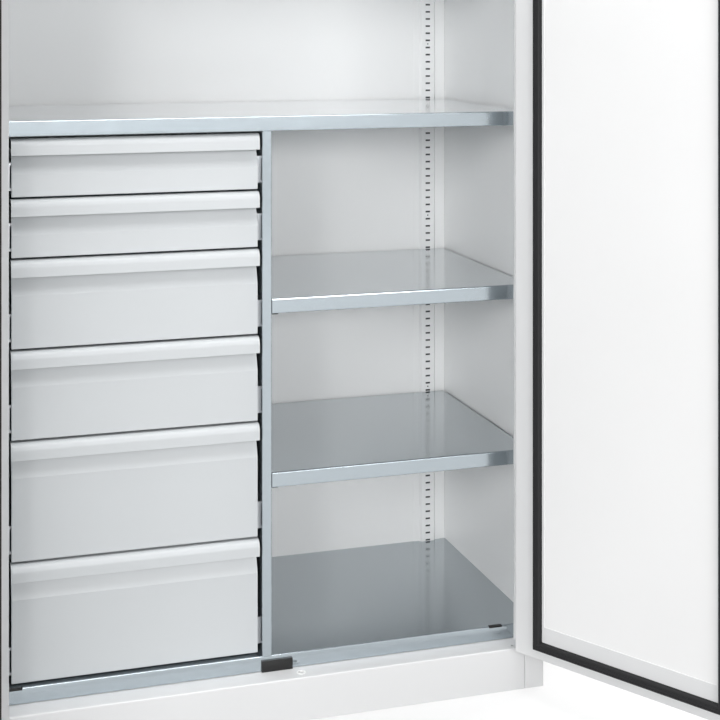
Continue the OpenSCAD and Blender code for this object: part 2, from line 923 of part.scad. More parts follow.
module drawer_front(n) {
    t = drawer_t;
    h = t / 2;
    z0 = drawer_z(n);
    z1 = drawer_top(n);
    y0 = front_y0;
    y_in = y0 + slope_d;
    z_grip = z1 - handle_h;
    z_flat = z_grip - slope_h;
    color(paint) {
        along_x(front_x0, front_x1)
            folded([
                [y_in, z0 + h, 0],
                [y0 + h, z0 + h, t],
                [y0 + h, z_flat, t],
                [y_in - h, z_grip - 2, t],
                [y_in - h, z1 - h, 0]
            ], t);
        along_x(front_x0 - handle_over, front_x1 + handle_over)
            folded([
                [y_in, z1 - h, 0],
                [y0 - handle_out + h, z1 - h, handle_r],
                [y0 - handle_out + h, z_grip, 0]
            ], t);
        for (x = [front_x0, front_x1 - t])
            along_x(x, x + t)
                polygon([
                    [y0 + h, z0 + h],
                    [y_in, z0 + h],
                    [y_in, z_grip - 2],
                    [y_in - h, z_grip - 2],
                    [y0 + h, z_flat]
                ]);
    }
}

module drawer_tray(n) {
    t = drawer_t;
    z0 = drawer_z(n) + 6;
    z1 = drawer_top(n) - handle_h - 2;
    y1 = tray_y0 + tray_l;
    color(zinc) {
        difference() {
            block([tray_x0, tray_y0, z0], [tray_x1, y1, z1]);
            block([tray_x0 + t, tray_y0 + t, z0 + t], [tray_x1 - t, y1 - t, z1 + 1]);
        }
        for (x = [tray_x0, tray_x1])
            drawer_member(x, x < -body_w / 4 ? 1 : -1, n);
    }
}

// A channel along the depth. Its web is at x0 and its flanges run towards dir.
module channel(x0, dir, depth, h, z) {
    x1 = x0 + dir * depth;
    xw = x0 + dir * runner_t;
    y1 = runner_y0 + tray_l - 2;
    block([min(x0, xw), runner_y0, z - h / 2], [max(x0, xw), y1, z + h / 2]);
    for (s = [-1, 1])
        block([min(x0, x1), runner_y0, z + s * (h / 2 - runner_t / 2) - runner_t / 2],
            [max(x0, x1), y1, z + s * (h / 2 - runner_t / 2) + runner_t / 2]);
}

inner_step = runner_t + runner_gap;

// The members are nested channels, counted from the wall at x0 towards dir.
module cabinet_member(x0, dir, n) {
    channel(x0, dir, runner_w - 2, runner_h, runner_z(n));
}

module middle_member(x0, dir, n) {
    channel(x0 + dir * inner_step, dir, runner_w - 2 * inner_step, runner_h - 2 * inner_step,
        runner_z(n));
}

// This one faces the other way, and its web lies on the tray's side at x1.
module drawer_member(x1, dir, n) {
    channel(x1, -dir, runner_w - 2 * inner_step, runner_h - 4 * inner_step, runner_z(n));
}

module runner_cabinet_members() {
    color(steel)
    for (n = DRAWERS) {
        cabinet_member(upright_x, 1, n);
        cabinet_member(-part_x, -1, n);
    }
}

module drawer_runner(n) {
    color(steel) {
        middle_member(upright_x, 1, n);
        middle_member(-part_x, -1, n);
    }
}

side_wall_left();
side_wall_right();
back_wall();
roof_panel();
plinth_front();
base_frame();
levelling_screws();
floor_plate();
partition();
slot_rails_front();
slot_rails_rear();
runner_uprights();
shelf_top();
shelf_upper();
shelf_middle();
shelf_right_upper();
shelf_right_lower();
shelf_clips();
centre_stops();
post_hinge_leaves();
hinge_pins();
runner_cabinet_members();
door_left_skin();
door_left_panel();
door_left_seal();
door_left_hinge_leaves();
door_right_skin();
door_right_panel();
door_right_seal();
door_right_hinge_leaves();
meeting_strip();
lock_plate();
handle_rose();
rod_guides();
rod_lower();
rod_upper();
handle_lever();
handle_cam();
lock_cylinder();
key();
drawer_front(1);  // drawer_1_front
drawer_front(2);  // drawer_2_front
drawer_front(3);  // drawer_3_front
drawer_front(4);  // drawer_4_front
drawer_front(5);  // drawer_5_front
drawer_front(6);  // drawer_6_front
drawer_tray(1);  // drawer_1_tray
drawer_tray(2);  // drawer_2_tray
drawer_tray(3);  // drawer_3_tray
drawer_tray(4);  // drawer_4_tray
drawer_tray(5);  // drawer_5_tray
drawer_tray(6);  // drawer_6_tray
drawer_runner(1);  // drawer_1_runner
drawer_runner(2);  // drawer_2_runner
drawer_runner(3);  // drawer_3_runner
drawer_runner(4);  // drawer_4_runner
drawer_runner(5);  // drawer_5_runner
drawer_runner(6);  // drawer_6_runner
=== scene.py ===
"""Looks for the heavy-duty storage cabinet: finishes, fine pieces and the stage."""

import math

import bmesh
import bpy
from mathutils import Matrix, Vector


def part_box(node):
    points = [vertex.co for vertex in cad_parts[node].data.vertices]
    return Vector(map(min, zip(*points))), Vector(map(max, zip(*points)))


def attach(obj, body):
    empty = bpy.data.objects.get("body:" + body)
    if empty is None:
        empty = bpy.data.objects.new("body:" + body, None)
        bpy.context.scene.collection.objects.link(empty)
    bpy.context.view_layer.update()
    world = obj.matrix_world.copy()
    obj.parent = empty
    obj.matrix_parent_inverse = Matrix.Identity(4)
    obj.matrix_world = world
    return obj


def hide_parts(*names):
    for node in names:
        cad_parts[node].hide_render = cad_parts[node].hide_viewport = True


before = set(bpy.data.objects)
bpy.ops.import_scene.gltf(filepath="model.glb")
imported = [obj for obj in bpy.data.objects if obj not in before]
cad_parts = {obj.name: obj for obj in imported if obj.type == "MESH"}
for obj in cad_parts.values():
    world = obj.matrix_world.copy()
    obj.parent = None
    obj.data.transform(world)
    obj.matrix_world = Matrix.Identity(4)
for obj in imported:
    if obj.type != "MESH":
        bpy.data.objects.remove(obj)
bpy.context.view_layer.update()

bl_info = {
    "name": "Storage cabinet looks",
    "version": (1, 0, 0),
    "blender": (4, 5, 0),
    "location": "View3D > Sidebar > Cabinet",
    "description": "Finishes and fine pieces for a steel storage cabinet",
    "category": "Object",
}

MM = 0.001
REST_ANGLE = math.radians(120.0)
SMOOTH_ANGLE = math.radians(35.0)

# Sizes and places in mm, as in the CAD source.
HINGE = Vector((463.5, -250.0, 0.0)) * MM
SPINDLE_X, SPINDLE_Z = 55.0, 1050.0
ROD_Y = -230.0
SILL_TOP, HEADER_FOOT = 74.0, 1916.0
LIP_Y = -208.0
STOP_FEET = (74.0, 1896.9)
STOP_LEFT, STOP_RIGHT, STOP_HEIGHT, STOP_THICK = -10.0, 44.6, 19.0, 4.0
SLOT_X, SLOT_HALF = 424.5, 12.3
SEAL_LEFT, SEAL_RIGHT, SEAL_LOW, SEAL_HIGH = 44.0, 419.5, 93.5, 1896.5
SEAL_FACE_Y = -219.0
BUSH_RADIUS, BUSH_FLANGE, BUSH_DEPTH = 6.4, 8.1, 11.0

# Spans on the body in mm: away from the middle, front to back, and up.
RAIL_SPAN = [corner[2] * 1000 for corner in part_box("slot_rails_rear")]
# The inside of the opening, where the body's paint is drawn lighter as painted light.
LIT_INSIDE_SPANS = ((-1, 499.2), (-207, 248), (60, 1949.2))
# The rails' hollows, drawn near black as painted shade seen through the slots.
REAR_HOLLOW = ((444.5, 471.5), (241.1, 248), RAIL_SPAN)
FRONT_HOLLOW = ((492.1, 499.2), (-183.5, -156.5), RAIL_SPAN)

# The stage, in m.
FLOOR_HALF, FLOOR_DROP = 30.0, 0.0005
# Centre and radii of the painted shadow that the floor's glow gives under the cabinet.
SHADE_Y, SHADE_RADII = -0.1, (1.1, 0.85)
LAMP_AIM = Vector((0, 0, 0.8))

# The photograph's viewpoint, fitted to the cabinet's edges in it.
EYE = (-0.6132, -2.6951, 1.1959)
EYE_TURN = -17.43
LENS = 74.23
HORIZON_SHIFT = -0.4726

# Body parts painted lighter inside the opening, as painted light.
LIT_INSIDE_PARTS = ["side_wall_left", "side_wall_right", "back_wall", "roof_panel",
         "slot_rails_front", "slot_rails_rear"]
PAINTED = ["plinth_front", "door_left_skin", "door_right_skin", "meeting_strip"]
FRONTS = ["drawer_%d_front" % n for n in range(1, 7)]
GALVANISED = ["floor_plate", "partition", "runner_uprights", "shelf_top", "shelf_upper",
              "shelf_middle", "shelf_right_upper", "shelf_right_lower"] + \
             ["drawer_%d_tray" % n for n in range(1, 7)]
PLATED = ["base_frame", "levelling_screws", "post_hinge_leaves", "hinge_pins",
          "runner_cabinet_members", "door_left_hinge_leaves", "door_right_hinge_leaves",
          "lock_plate", "rod_lower", "rod_upper", "handle_cam", "lock_cylinder"] + \
         ["drawer_%d_runner" % n for n in range(1, 7)]
PANELS = ["door_left_panel", "door_right_panel"]
MOULDED = ["shelf_clips", "rod_guides"]


# Materials

def new_material(name):
    mat = bpy.data.materials.new(name)
    mat.use_nodes = True
    nodes = mat.node_tree.nodes
    shader = nodes["Principled BSDF"]
    coords = nodes.new("ShaderNodeTexCoord")
    return mat, nodes, mat.node_tree.links, shader, coords


def noise(nodes, links, coords, scale, detail=2.0, stretch=None):
    tex = nodes.new("ShaderNodeTexNoise")
    tex.inputs["Scale"].default_value = scale
    tex.inputs["Detail"].default_value = detail
    source = coords.outputs["Object"]
    if stretch:
        place = nodes.new("ShaderNodeMapping")
        place.inputs["Scale"].default_value = stretch
        links.new(source, place.inputs["Vector"])
        source = place.outputs["Vector"]
    links.new(source, tex.inputs["Vector"])
    return tex.outputs["Fac"]


def spread(nodes, links, value, low, high):
    """Maps the usual range of a noise to low..high."""
    mapped = nodes.new("ShaderNodeMapRange")
    mapped.inputs["From Min"].default_value = 0.3
    mapped.inputs["From Max"].default_value = 0.7
    mapped.inputs["To Min"].default_value = low
    mapped.inputs["To Max"].default_value = high
    links.new(value, mapped.inputs["Value"])
    return mapped.outputs["Result"]


def tint(nodes, links, value, dark, light):
    ramp = nodes.new("ShaderNodeValToRGB")
    ramp.color_ramp.elements[0].position = 0.3
    ramp.color_ramp.elements[1].position = 0.7
    ramp.color_ramp.elements[0].color = (*dark, 1)
    ramp.color_ramp.elements[1].color = (*light, 1)
    links.new(value, ramp.inputs["Fac"])
    return ramp.outputs["Color"]


def relief(nodes, links, shader, height, distance, strength):
    bump = nodes.new("ShaderNodeBump")
    bump.inputs["Distance"].default_value = distance
    bump.inputs["Strength"].default_value = strength
    links.new(height, bump.inputs["Height"])
    links.new(bump.outputs["Normal"], shader.inputs["Normal"])


def shaded(colour, amount):
    return tuple(max(0.0, c * amount) for c in colour[:3])


def maths(nodes, links, operation, first, second=None):
    node = nodes.new("ShaderNodeMath")
    node.operation = operation
    for socket, value in zip(node.inputs, (first, second)):
        if isinstance(value, bpy.types.NodeSocket):
            links.new(value, socket)
        elif value is not None:
            socket.default_value = value
    return node.outputs[0]


def all_of(nodes, links, masks):
    value = masks[0]
    for mask in masks[1:]:
        value = maths(nodes, links, "MULTIPLY", value, mask)
    return value


def within(nodes, links, value, low, high):
    """1 where a coordinate lies between low and high, in mm."""
    return all_of(nodes, links, [
        maths(nodes, links, "GREATER_THAN", value, low * MM),
        maths(nodes, links, "LESS_THAN", value, high * MM)])


def inside(nodes, links, axes, spans):
    """1 where every coordinate lies in its span."""
    return all_of(nodes, links, [within(nodes, links, axis, *span)
                                 for axis, span in zip(axes, spans)])


def laid_over(nodes, links, mask, under, over):
    mix = nodes.new("ShaderNodeMixRGB")
    links.new(mask, mix.inputs["Fac"])
    for socket, value in ((mix.inputs["Color1"], under), (mix.inputs["Color2"], over)):
        if isinstance(value, bpy.types.NodeSocket):
            links.new(value, socket)
        else:
            socket.default_value = (*value, 1)
    return mix.outputs["Color"]


def powder_grain(nodes, links, shader, coords, gloss_low, gloss_high, grain):
    """The fine unevenness of a powder coat, in gloss and in relief."""
    fine = noise(nodes, links, coords, 700.0, 3.0)
    links.new(spread(nodes, links, fine, gloss_low, gloss_high), shader.inputs["Roughness"])
    relief(nodes, links, shader, fine, 0.00015, grain)


def body_coat_lit_inside(name, paint, lit_inside_colour, hollow_shade, gloss_low, gloss_high, grain):
    """The body's paint, lighter inside the opening as painted light, and painted shade in the
    rails.
    """
    mat, nodes, links, shader, coords = new_material(name)
    cloud = noise(nodes, links, coords, 2.5)
    outer = tint(nodes, links, cloud, shaded(paint, 0.985), shaded(paint, 1.015))
    # The inside takes a lighter copy of the paint: painted light.
    inner = tint(nodes, links, cloud, shaded(lit_inside_colour, 0.985), shaded(lit_inside_colour, 1.005))
    place = nodes.new("ShaderNodeSeparateXYZ")
    links.new(coords.outputs["Object"], place.inputs[0])
    axes = (maths(nodes, links, "ABSOLUTE", place.outputs["X"]), place.outputs["Y"],
            place.outputs["Z"])
    rear, front = (inside(nodes, links, axes, spans) for spans in (REAR_HOLLOW, FRONT_HOLLOW))
    colour = laid_over(nodes, links, inside(nodes, links, axes, LIT_INSIDE_SPANS), outer, inner)
    # The rails' hollows take near-black painted shade.
    colour = laid_over(nodes, links, maths(nodes, links, "MAXIMUM", rear, front), colour, hollow_shade)
    links.new(colour, shader.inputs["Base Color"])
    powder_grain(nodes, links, shader, coords, gloss_low, gloss_high, grain)
    return mat


def powder_coat(name, colour, gloss_low, gloss_high, grain):
    mat, nodes, links, shader, coords = new_material(name)
    cloud = noise(nodes, links, coords, 2.5)
    links.new(tint(nodes, links, cloud, shaded(colour, 0.985), shaded(colour, 1.015)),
              shader.inputs["Base Color"])
    powder_grain(nodes, links, shader, coords, gloss_low, gloss_high, grain)
    return mat


def zinc_coat(name, colour):
    """Galvanised sheet: faint crystals, and a rolling direction along the width."""
    mat, nodes, links, shader, coords = new_material(name)
    crystals = nodes.new("ShaderNodeTexVoronoi")
    crystals.inputs["Scale"].default_value = 160.0
    links.new(coords.outputs["Object"], crystals.inputs["Vector"])
    grey = nodes.new("ShaderNodeSeparateColor")
    links.new(crystals.outputs["Color"], grey.inputs["Color"])
    links.new(tint(nodes, links, grey.outputs["Red"], shaded(colour, 0.992),
                   shaded(colour, 1.006)), shader.inputs["Base Color"])
    rolled = noise(nodes, links, coords, 40.0, 3.0, (0.6, 12.0, 12.0))
    links.new(spread(nodes, links, rolled, 0.14, 0.18), shader.inputs["Roughness"])
    relief(nodes, links, shader, rolled, 0.00003, 0.005)
    shader.inputs["Metallic"].default_value = 0.78
    shader.inputs["Coat Weight"].default_value = 1.0
    shader.inputs["Coat Roughness"].default_value = 0.10
    shader.inputs["Coat IOR"].default_value = 1.75
    return mat


def bright_steel(name, colour, gloss_low, gloss_high):
    mat, nodes, links, shader, coords = new_material(name)
    drawn = noise(nodes, links, coords, 120.0, 3.0, (1.0, 1.0, 8.0))
    links.new(tint(nodes, links, drawn, shaded(colour, 0.94), shaded(colour, 1.03)),
              shader.inputs["Base Color"])
    links.new(spread(nodes, links, drawn, gloss_low, gloss_high), shader.inputs["Roughness"])
    shader.inputs["Metallic"].default_value = 1.0
    return mat


def moulded(name, colour, gloss_low, gloss_high, scale, grain, sheen=0.5):
    mat, nodes, links, shader, coords = new_material(name)
    shader.inputs["Specular IOR Level"].default_value = sheen
    fine = noise(nodes, links, coords, scale, 4.0)
    links.new(tint(nodes, links, fine, shaded(colour, 0.85), shaded(colour, 1.2)),
              shader.inputs["Base Color"])
    links.new(spread(nodes, links, fine, gloss_low, gloss_high), shader.inputs["Roughness"])
    relief(nodes, links, shader, fine, 0.0002, grain)
    return mat


def dress(obj, mat):
    obj.data.materials.clear()
    obj.data.materials.append(mat)


# Shapes

def door_place(side):
    """Takes a piece drawn on the closed right door to where that door, or the left, rests."""
    swing = Matrix.Translation(HINGE) @ Matrix.Rotation(REST_ANGLE, 4, "Z") \
        @ Matrix.Translation(-HINGE)
    return swing if side == "right" else Matrix.Scale(-1, 4, (1, 0, 0)) @ swing


def placed(name, data):
    obj = bpy.data.objects.new(name, data)
    bpy.context.scene.collection.objects.link(obj)
    return obj


def finish_piece(bm, name, mat, body, stands_for=None, place=None):
    if place is not None:
        bmesh.ops.transform(bm, matrix=place, verts=bm.verts)
    bmesh.ops.remove_doubles(bm, verts=bm.verts, dist=1e-6)
    bmesh.ops.recalc_face_normals(bm, faces=bm.faces)
    if not bm.faces:
        raise RuntimeError("%s has no faces" % name)
    mesh = bpy.data.meshes.new(name)
    bm.to_mesh(mesh)
    bm.free()
    obj = placed(name, mesh)
    mesh.shade_smooth()
    mesh.set_sharp_from_angle(angle=SMOOTH_ANGLE)
    dress(obj, mat)
    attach(obj, body)
    if stands_for:
        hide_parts(stands_for)


def soften(bm, edges, width, segments=3):
    bmesh.ops.bevel(bm, geom=edges, offset=width, offset_type="OFFSET", segments=segments,
                    profile=0.5, affect="EDGES", material=-1, clamp_overlap=True)


def chamfered_box(bm, low, high, width, segments=3):
    low, high = Vector(low) * MM, Vector(high) * MM
    size = high - low
    place = Matrix.Translation((low + high) / 2) @ Matrix.Diagonal((*size, 1))
    made = bmesh.ops.create_cube(bm, size=1.0, matrix=place)
    edges = list({e for v in made["verts"] for e in v.link_edges})
    soften(bm, edges, width * MM, segments)


def outline(bm, points):
    """A closed ring of edges through points in m."""
    verts = [bm.verts.new(p) for p in points]
    return verts, [bm.edges.new(pair) for pair in zip(verts, verts[1:] + verts[:1])]


def spun(bm, points, centre, axis, steps):
    verts, edges = outline(bm, points)
    bmesh.ops.spin(bm, geom=verts + edges, cent=centre, axis=axis, dvec=(0, 0, 0),
                   angle=2 * math.pi, steps=steps, use_merge=True, use_duplicate=False)


def turned(bm, profile, x, z):
    """Spins a closed outline of (radius, y) points in mm about the line along y at x, z."""
    spun(bm, [((x + r) * MM, y * MM, z * MM) for r, y in profile], (x * MM, 0, z * MM),
         (0, 1, 0), 64)


def turned_up(bm, profile, x, y):
    """Spins a closed outline of (radius, z) points in mm about the upright line at x, y."""
    spun(bm, [((x + r) * MM, y * MM, z * MM) for r, z in profile], (x * MM, y * MM, 0),
         (0, 0, 1), 48)


# The seal's section in mm: across from its outer edge, and out from the door's face.
SEAL_SECTION = [(0.4, 0), (0.4, 1.0), (1.0, 7.2), (1.8, 8.2), (4.6, 8.4), (5.0, 7.7), (5.8, 7.7),
                (6.2, 8.4), (8.8, 8.4), (9.2, 7.7), (10.0, 7.7), (10.4, 8.4), (13.0, 8.2),
                (14.2, 7.0), (15.0, 1.2), (15.6, 1.0), (15.6, 0)]


def stretched(bm, edges):
    """Extrudes edges where they are, and returns the new vertices and edges."""
    made = bmesh.ops.extrude_edge_only(bm, edges=edges)["geom"]
    return [g for g in made if isinstance(g, bmesh.types.BMVert)], \
        [g for g in made if isinstance(g, bmesh.types.BMEdge)]


def seal_ring(bm):
    """Runs the seal's section round a quarter of the door, mitred, then mirrors it twice."""
    across, up = (SEAL_LEFT + SEAL_RIGHT) / 2, (SEAL_LOW + SEAL_HIGH) / 2
    _, edges = outline(bm, [((SEAL_LEFT + a) * MM, (SEAL_FACE_Y + b) * MM, up * MM)
                            for a, b in SEAL_SECTION])
    mitre, edges = stretched(bm, edges)
    for v in mitre:
        v.co.z = (SEAL_HIGH + SEAL_LEFT) * MM - v.co.x
    edges = [e for e in edges if all(v in mitre for v in e.verts)]
    end, _ = stretched(bm, edges)
    for v in end:
        v.co.x = across * MM
    for axis, middle in (("X", (-across * MM, 0, 0)), ("Z", (0, 0, -up * MM))):
        bmesh.ops.mirror(bm, geom=bm.verts[:] + bm.edges[:] + bm.faces[:], axis=axis,
                         matrix=Matrix.Translation(middle), merge_dist=1e-6)


# What a user would change

class CabinetLooks(bpy.types.PropertyGroup):
    paint: bpy.props.FloatVectorProperty(
        name="Paint", description="Colour of the doors, the plinth and the body outside",
        subtype="COLOR", default=(0.71, 0.715, 0.72), min=0, max=1)
    # Painted light: a lighter copy of the paint on the walls inside the opening.
    lit_inside_colour: bpy.props.FloatVectorProperty(
        name="Lining", description="Colour of the painted walls inside", subtype="COLOR",
        default=(0.94, 0.945, 0.945), min=0, max=1)
    # Painted shade: the near-black colour in the rails' hollows behind the slots.
    hollow_shade: bpy.props.FloatVectorProperty(
        name="Rail hollow", description="Colour of the unpainted sheet behind the slots",
        subtype="COLOR", default=(0.06, 0.062, 0.065), min=0, max=1)
    fronts: bpy.props.FloatVectorProperty(
        name="Drawer fronts", description="Colour of the painted drawer fronts",
        subtype="COLOR", default=(0.54, 0.562, 0.576), min=0, max=1)
    field: bpy.props.FloatVectorProperty(
        name="Inner field", description="Colour of the sheet inside each door's frame",
        subtype="COLOR", default=(0.84, 0.84, 0.84), min=0, max=1)
    zinc: bpy.props.FloatVectorProperty(
        name="Zinc", description="Colour of the galvanised sheets", subtype="COLOR",
        default=(0.335, 0.386, 0.418), min=0, max=1)
    plated: bpy.props.FloatVectorProperty(
        name="Plated steel", description="Colour of runners, hinges and rods",
        subtype="COLOR", default=(0.52, 0.53, 0.55), min=0, max=1)
    rubber: bpy.props.FloatVectorProperty(
        name="Rubber", description="Colour of the seals", subtype="COLOR",
        default=(0.016, 0.016, 0.017), min=0, max=1)
    plastic: bpy.props.FloatVectorProperty(
        name="Plastic", description="Colour of the handle, stops and clips",
        subtype="COLOR", default=(0.013, 0.013, 0.013), min=0, max=1)
    bush_wall: bpy.props.FloatProperty(
        name="Bush wall", description="Wall thickness of the rod bushes, in mm",
        default=1.9, min=1.0, max=1.9)


class CabinetStage(bpy.types.PropertyGroup):
    ambient: bpy.props.FloatProperty(
        name="Ambient", description="Strength of the light from all round",
        default=0.05, min=0, max=2)
    left_power: bpy.props.FloatProperty(
        name="Left light", description="Power of the large lamp in front on the left",
        default=222.0, min=0, max=1500, unit="POWER")
    middle_power: bpy.props.FloatProperty(
        name="Middle light", description="Power of the wide lamp just left of the middle",
        default=26.0, min=0, max=1500, unit="POWER")
    right_power: bpy.props.FloatProperty(
        name="Right light", description="Power of the wide lamp just right of the middle",
        default=126.0, min=0, max=1500, unit="POWER")
    high_power: bpy.props.FloatProperty(
        name="High light", description="Power of the lamp high above the opening",
        default=90.0, min=0, max=1500, unit="POWER")
    top_power: bpy.props.FloatProperty(
        name="Top light", description="Power of the lamp above the roof",
        default=200.0, min=0, max=1500, unit="POWER")
    back_power: bpy.props.FloatProperty(
        name="Back lights", description="Power of each of the two lamps behind the corners",
        default=210.0, min=0, max=1500, unit="POWER")
    # Painted shadow on the floor: less glow near the cabinet, least under it.
    glow_near: bpy.props.FloatProperty(
        name="Near floor", description="Brightness added to the floor close by",
        default=0.78, min=0, max=1)
    foot_shade: bpy.props.FloatProperty(
        name="Foot shade", description="Brightness taken off the floor under the cabinet",
        default=0.30, min=0, max=0.7)


MATS = {}


class CABINET_OT_finishes(bpy.types.Operator):
    """Gives each CAD node its finish"""
    bl_idname = "cabinet.finishes"
    bl_label = "Finishes"

    def execute(self, context):
        looks = context.scene.cabinet_looks
        MATS["paint"] = powder_coat("powder_coat", looks.paint, 0.36, 0.48, 0.10)
        MATS["fronts"] = powder_coat("drawer_coat", looks.fronts, 0.36, 0.48, 0.10)
        MATS["field"] = powder_coat("inner_field", looks.field, 0.30, 0.40, 0.05)
        MATS["zinc"] = zinc_coat("zinc_coat", looks.zinc)
        MATS["plated"] = bright_steel("plated_steel", looks.plated, 0.28, 0.42)
        MATS["lit_inside"] = body_coat_lit_inside("body_coat", tuple(looks.paint), tuple(looks.lit_inside_colour),
                                   tuple(looks.hollow_shade), 0.36, 0.48, 0.10)
        MATS["rubber"] = moulded("seal_rubber", looks.rubber, 0.55, 0.72, 900.0, 0.15, 0.25)
        MATS["plastic"] = moulded("black_plastic", looks.plastic, 0.38, 0.50, 600.0, 0.12, 0.3)
        MATS["nylon"] = moulded("white_nylon", (0.88, 0.88, 0.87), 0.35, 0.45, 400.0, 0.04)
        for key, names in (("paint", PAINTED), ("lit_inside", LIT_INSIDE_PARTS), ("fronts", FRONTS),
                           ("zinc", GALVANISED), ("plated", PLATED), ("field", PANELS),
                           ("plastic", MOULDED)):
            for name in names:
                dress(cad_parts[name], MATS[key])
        return {"FINISHED"}


class CABINET_OT_seals(bpy.types.Operator):
    """Makes the ribbed rubber seal of each door"""
    bl_idname = "cabinet.seals"
    bl_label = "Door seals"

    def execute(self, context):
        for side in ("left", "right"):
            bm = bmesh.new()
            seal_ring(bm)
            finish_piece(bm, "seal_%s" % side, MATS["rubber"], "door_%s" % side,
                         "door_%s_seal" % side, door_place(side))
        return {"FINISHED"}


class CABINET_OT_handle(bpy.types.Operator):
    """Makes the rose, the lever and the key"""
    bl_idname = "cabinet.handle"
    bl_label = "Handle and key"

    def execute(self, context):
        place = door_place("right")
        bm = bmesh.new()
        turned(bm, [(8.05, -258), (19, -258), (21.5, -257.2), (23.2, -255.4), (24, -253),
                    (24, -250), (8.05, -250)], SPINDLE_X, SPINDLE_Z)
        finish_piece(bm, "rose", MATS["plastic"], "door_right",
                     "handle_rose", place)
        bm = bmesh.new()
        turned(bm, [(9.05, -280), (14.5, -280.3), (16.8, -279.4), (18, -277), (18, -260),
                    (17, -258.4), (9.05, -258.4)], SPINDLE_X, SPINDLE_Z)
        self.grip(bm)
        finish_piece(bm, "lever", MATS["plastic"], "handle",
                     "handle_lever", place)
        bm = bmesh.new()
        self.key(bm)
        finish_piece(bm, "door_key", MATS["plated"], "cylinder", "key", place)
        return {"FINISHED"}

    def grip(self, bm):
        """A bar that narrows to a rounded tip, and thins towards the door."""
        made = bmesh.ops.create_cube(bm, size=1.0)["verts"]
        low = Vector((SPINDLE_X + 15, -280.1, SPINDLE_Z - 10)) * MM
        high = Vector((SPINDLE_X + 118, -269.3, SPINDLE_Z + 10)) * MM
        bmesh.ops.transform(bm, verts=made, matrix=Matrix.Translation((low + high) / 2)
                            @ Matrix.Diagonal((*(high - low), 1)))
        tip = [v for v in made if v.co.x > (low.x + high.x) / 2]
        bmesh.ops.scale(bm, verts=tip, vec=(1, 0.85, 0.8), space=Matrix.Translation(
            -Vector((high.x, low.y + 0.0054, SPINDLE_Z * MM))))
        edges = list({e for v in made for e in v.link_edges})
        soften(bm, edges, 4.2 * MM, 5)

    def key(self, bm):
        """A flat blade, and a ring for a bow."""
        x, z = SPINDLE_X, SPINDLE_Z
        chamfered_box(bm, (x - 1.1, -290.3, z - 3.8), (x + 1.1, -267.3, z + 3.8), 0.3, 2)
        verts = bmesh.ops.create_circle(bm, cap_ends=True, radius=12 * MM, segments=48)["verts"]
        bmesh.ops.transform(bm, verts=verts, matrix=Matrix.Translation(
            Vector((x - 1.1, -298.3, z)) * MM) @ Matrix.Rotation(math.pi / 2, 4, "Y"))
        disc = verts[0].link_faces[0]
        ring = bmesh.ops.inset_individual(bm, faces=[disc], thickness=9 * MM)["faces"]
        bmesh.ops.delete(bm, geom=[disc], context="FACES_ONLY")
        grown = bmesh.ops.extrude_face_region(bm, geom=ring)["geom"]
        bmesh.ops.translate(bm, vec=(2.2 * MM, 0, 0),
                            verts=[g for g in grown if isinstance(g, bmesh.types.BMVert)])


class CABINET_OT_stops(bpy.types.Operator):
    """Makes the two black stops at the middle of the sill and the header"""
    bl_idname = "cabinet.stops"
    bl_label = "Stops"

    def execute(self, context):
        bm = bmesh.new()
        for foot in STOP_FEET:
            chamfered_box(bm, (STOP_LEFT, LIP_Y - STOP_THICK, foot),
                          (STOP_RIGHT, LIP_Y, foot + STOP_HEIGHT), 0.4)
        finish_piece(bm, "stops", MATS["plastic"], "cabinet",
                     "centre_stops")
        return {"FINISHED"}


class CABINET_OT_bushes(bpy.types.Operator):
    """Makes the white bushes the rods run through, and painted shade: black blocks in the
    floor's slots
    """
    bl_idname = "cabinet.bushes"
    bl_label = "Rod bushes and slot plugs"

    def execute(self, context):
        wall = context.scene.cabinet_looks.bush_wall
        bore = BUSH_RADIUS - wall
        profile = [(bore, 0.6), (bore + 0.3, 0.8), (BUSH_FLANGE - 0.4, 0.8), (BUSH_FLANGE, 0.4),
                   (BUSH_FLANGE, 0.05), (BUSH_RADIUS, 0.05), (BUSH_RADIUS, -BUSH_DEPTH),
                   (bore, -BUSH_DEPTH)]
        for name, face, turn in (("lower", SILL_TOP, 1), ("upper", HEADER_FOOT, -1)):
            bm = bmesh.new()
            turned_up(bm, [(r, face + turn * z) for r, z in profile], SPINDLE_X, ROD_Y)
            finish_piece(bm, "rod_bush_%s" % name, MATS["nylon"], "cabinet")
        bm = bmesh.new()
        # Black blocks in the floor's slots: painted shade where the slots are dark.
        for x in (-SLOT_X, SLOT_X):
            chamfered_box(bm, (x - SLOT_HALF, LIP_Y + 0.2, 97.2),
                          (x + SLOT_HALF, LIP_Y + 6.8, 99.7), 0.4)
        finish_piece(bm, "slot_shade_blocks", MATS["plastic"], "cabinet")
        return {"FINISHED"}


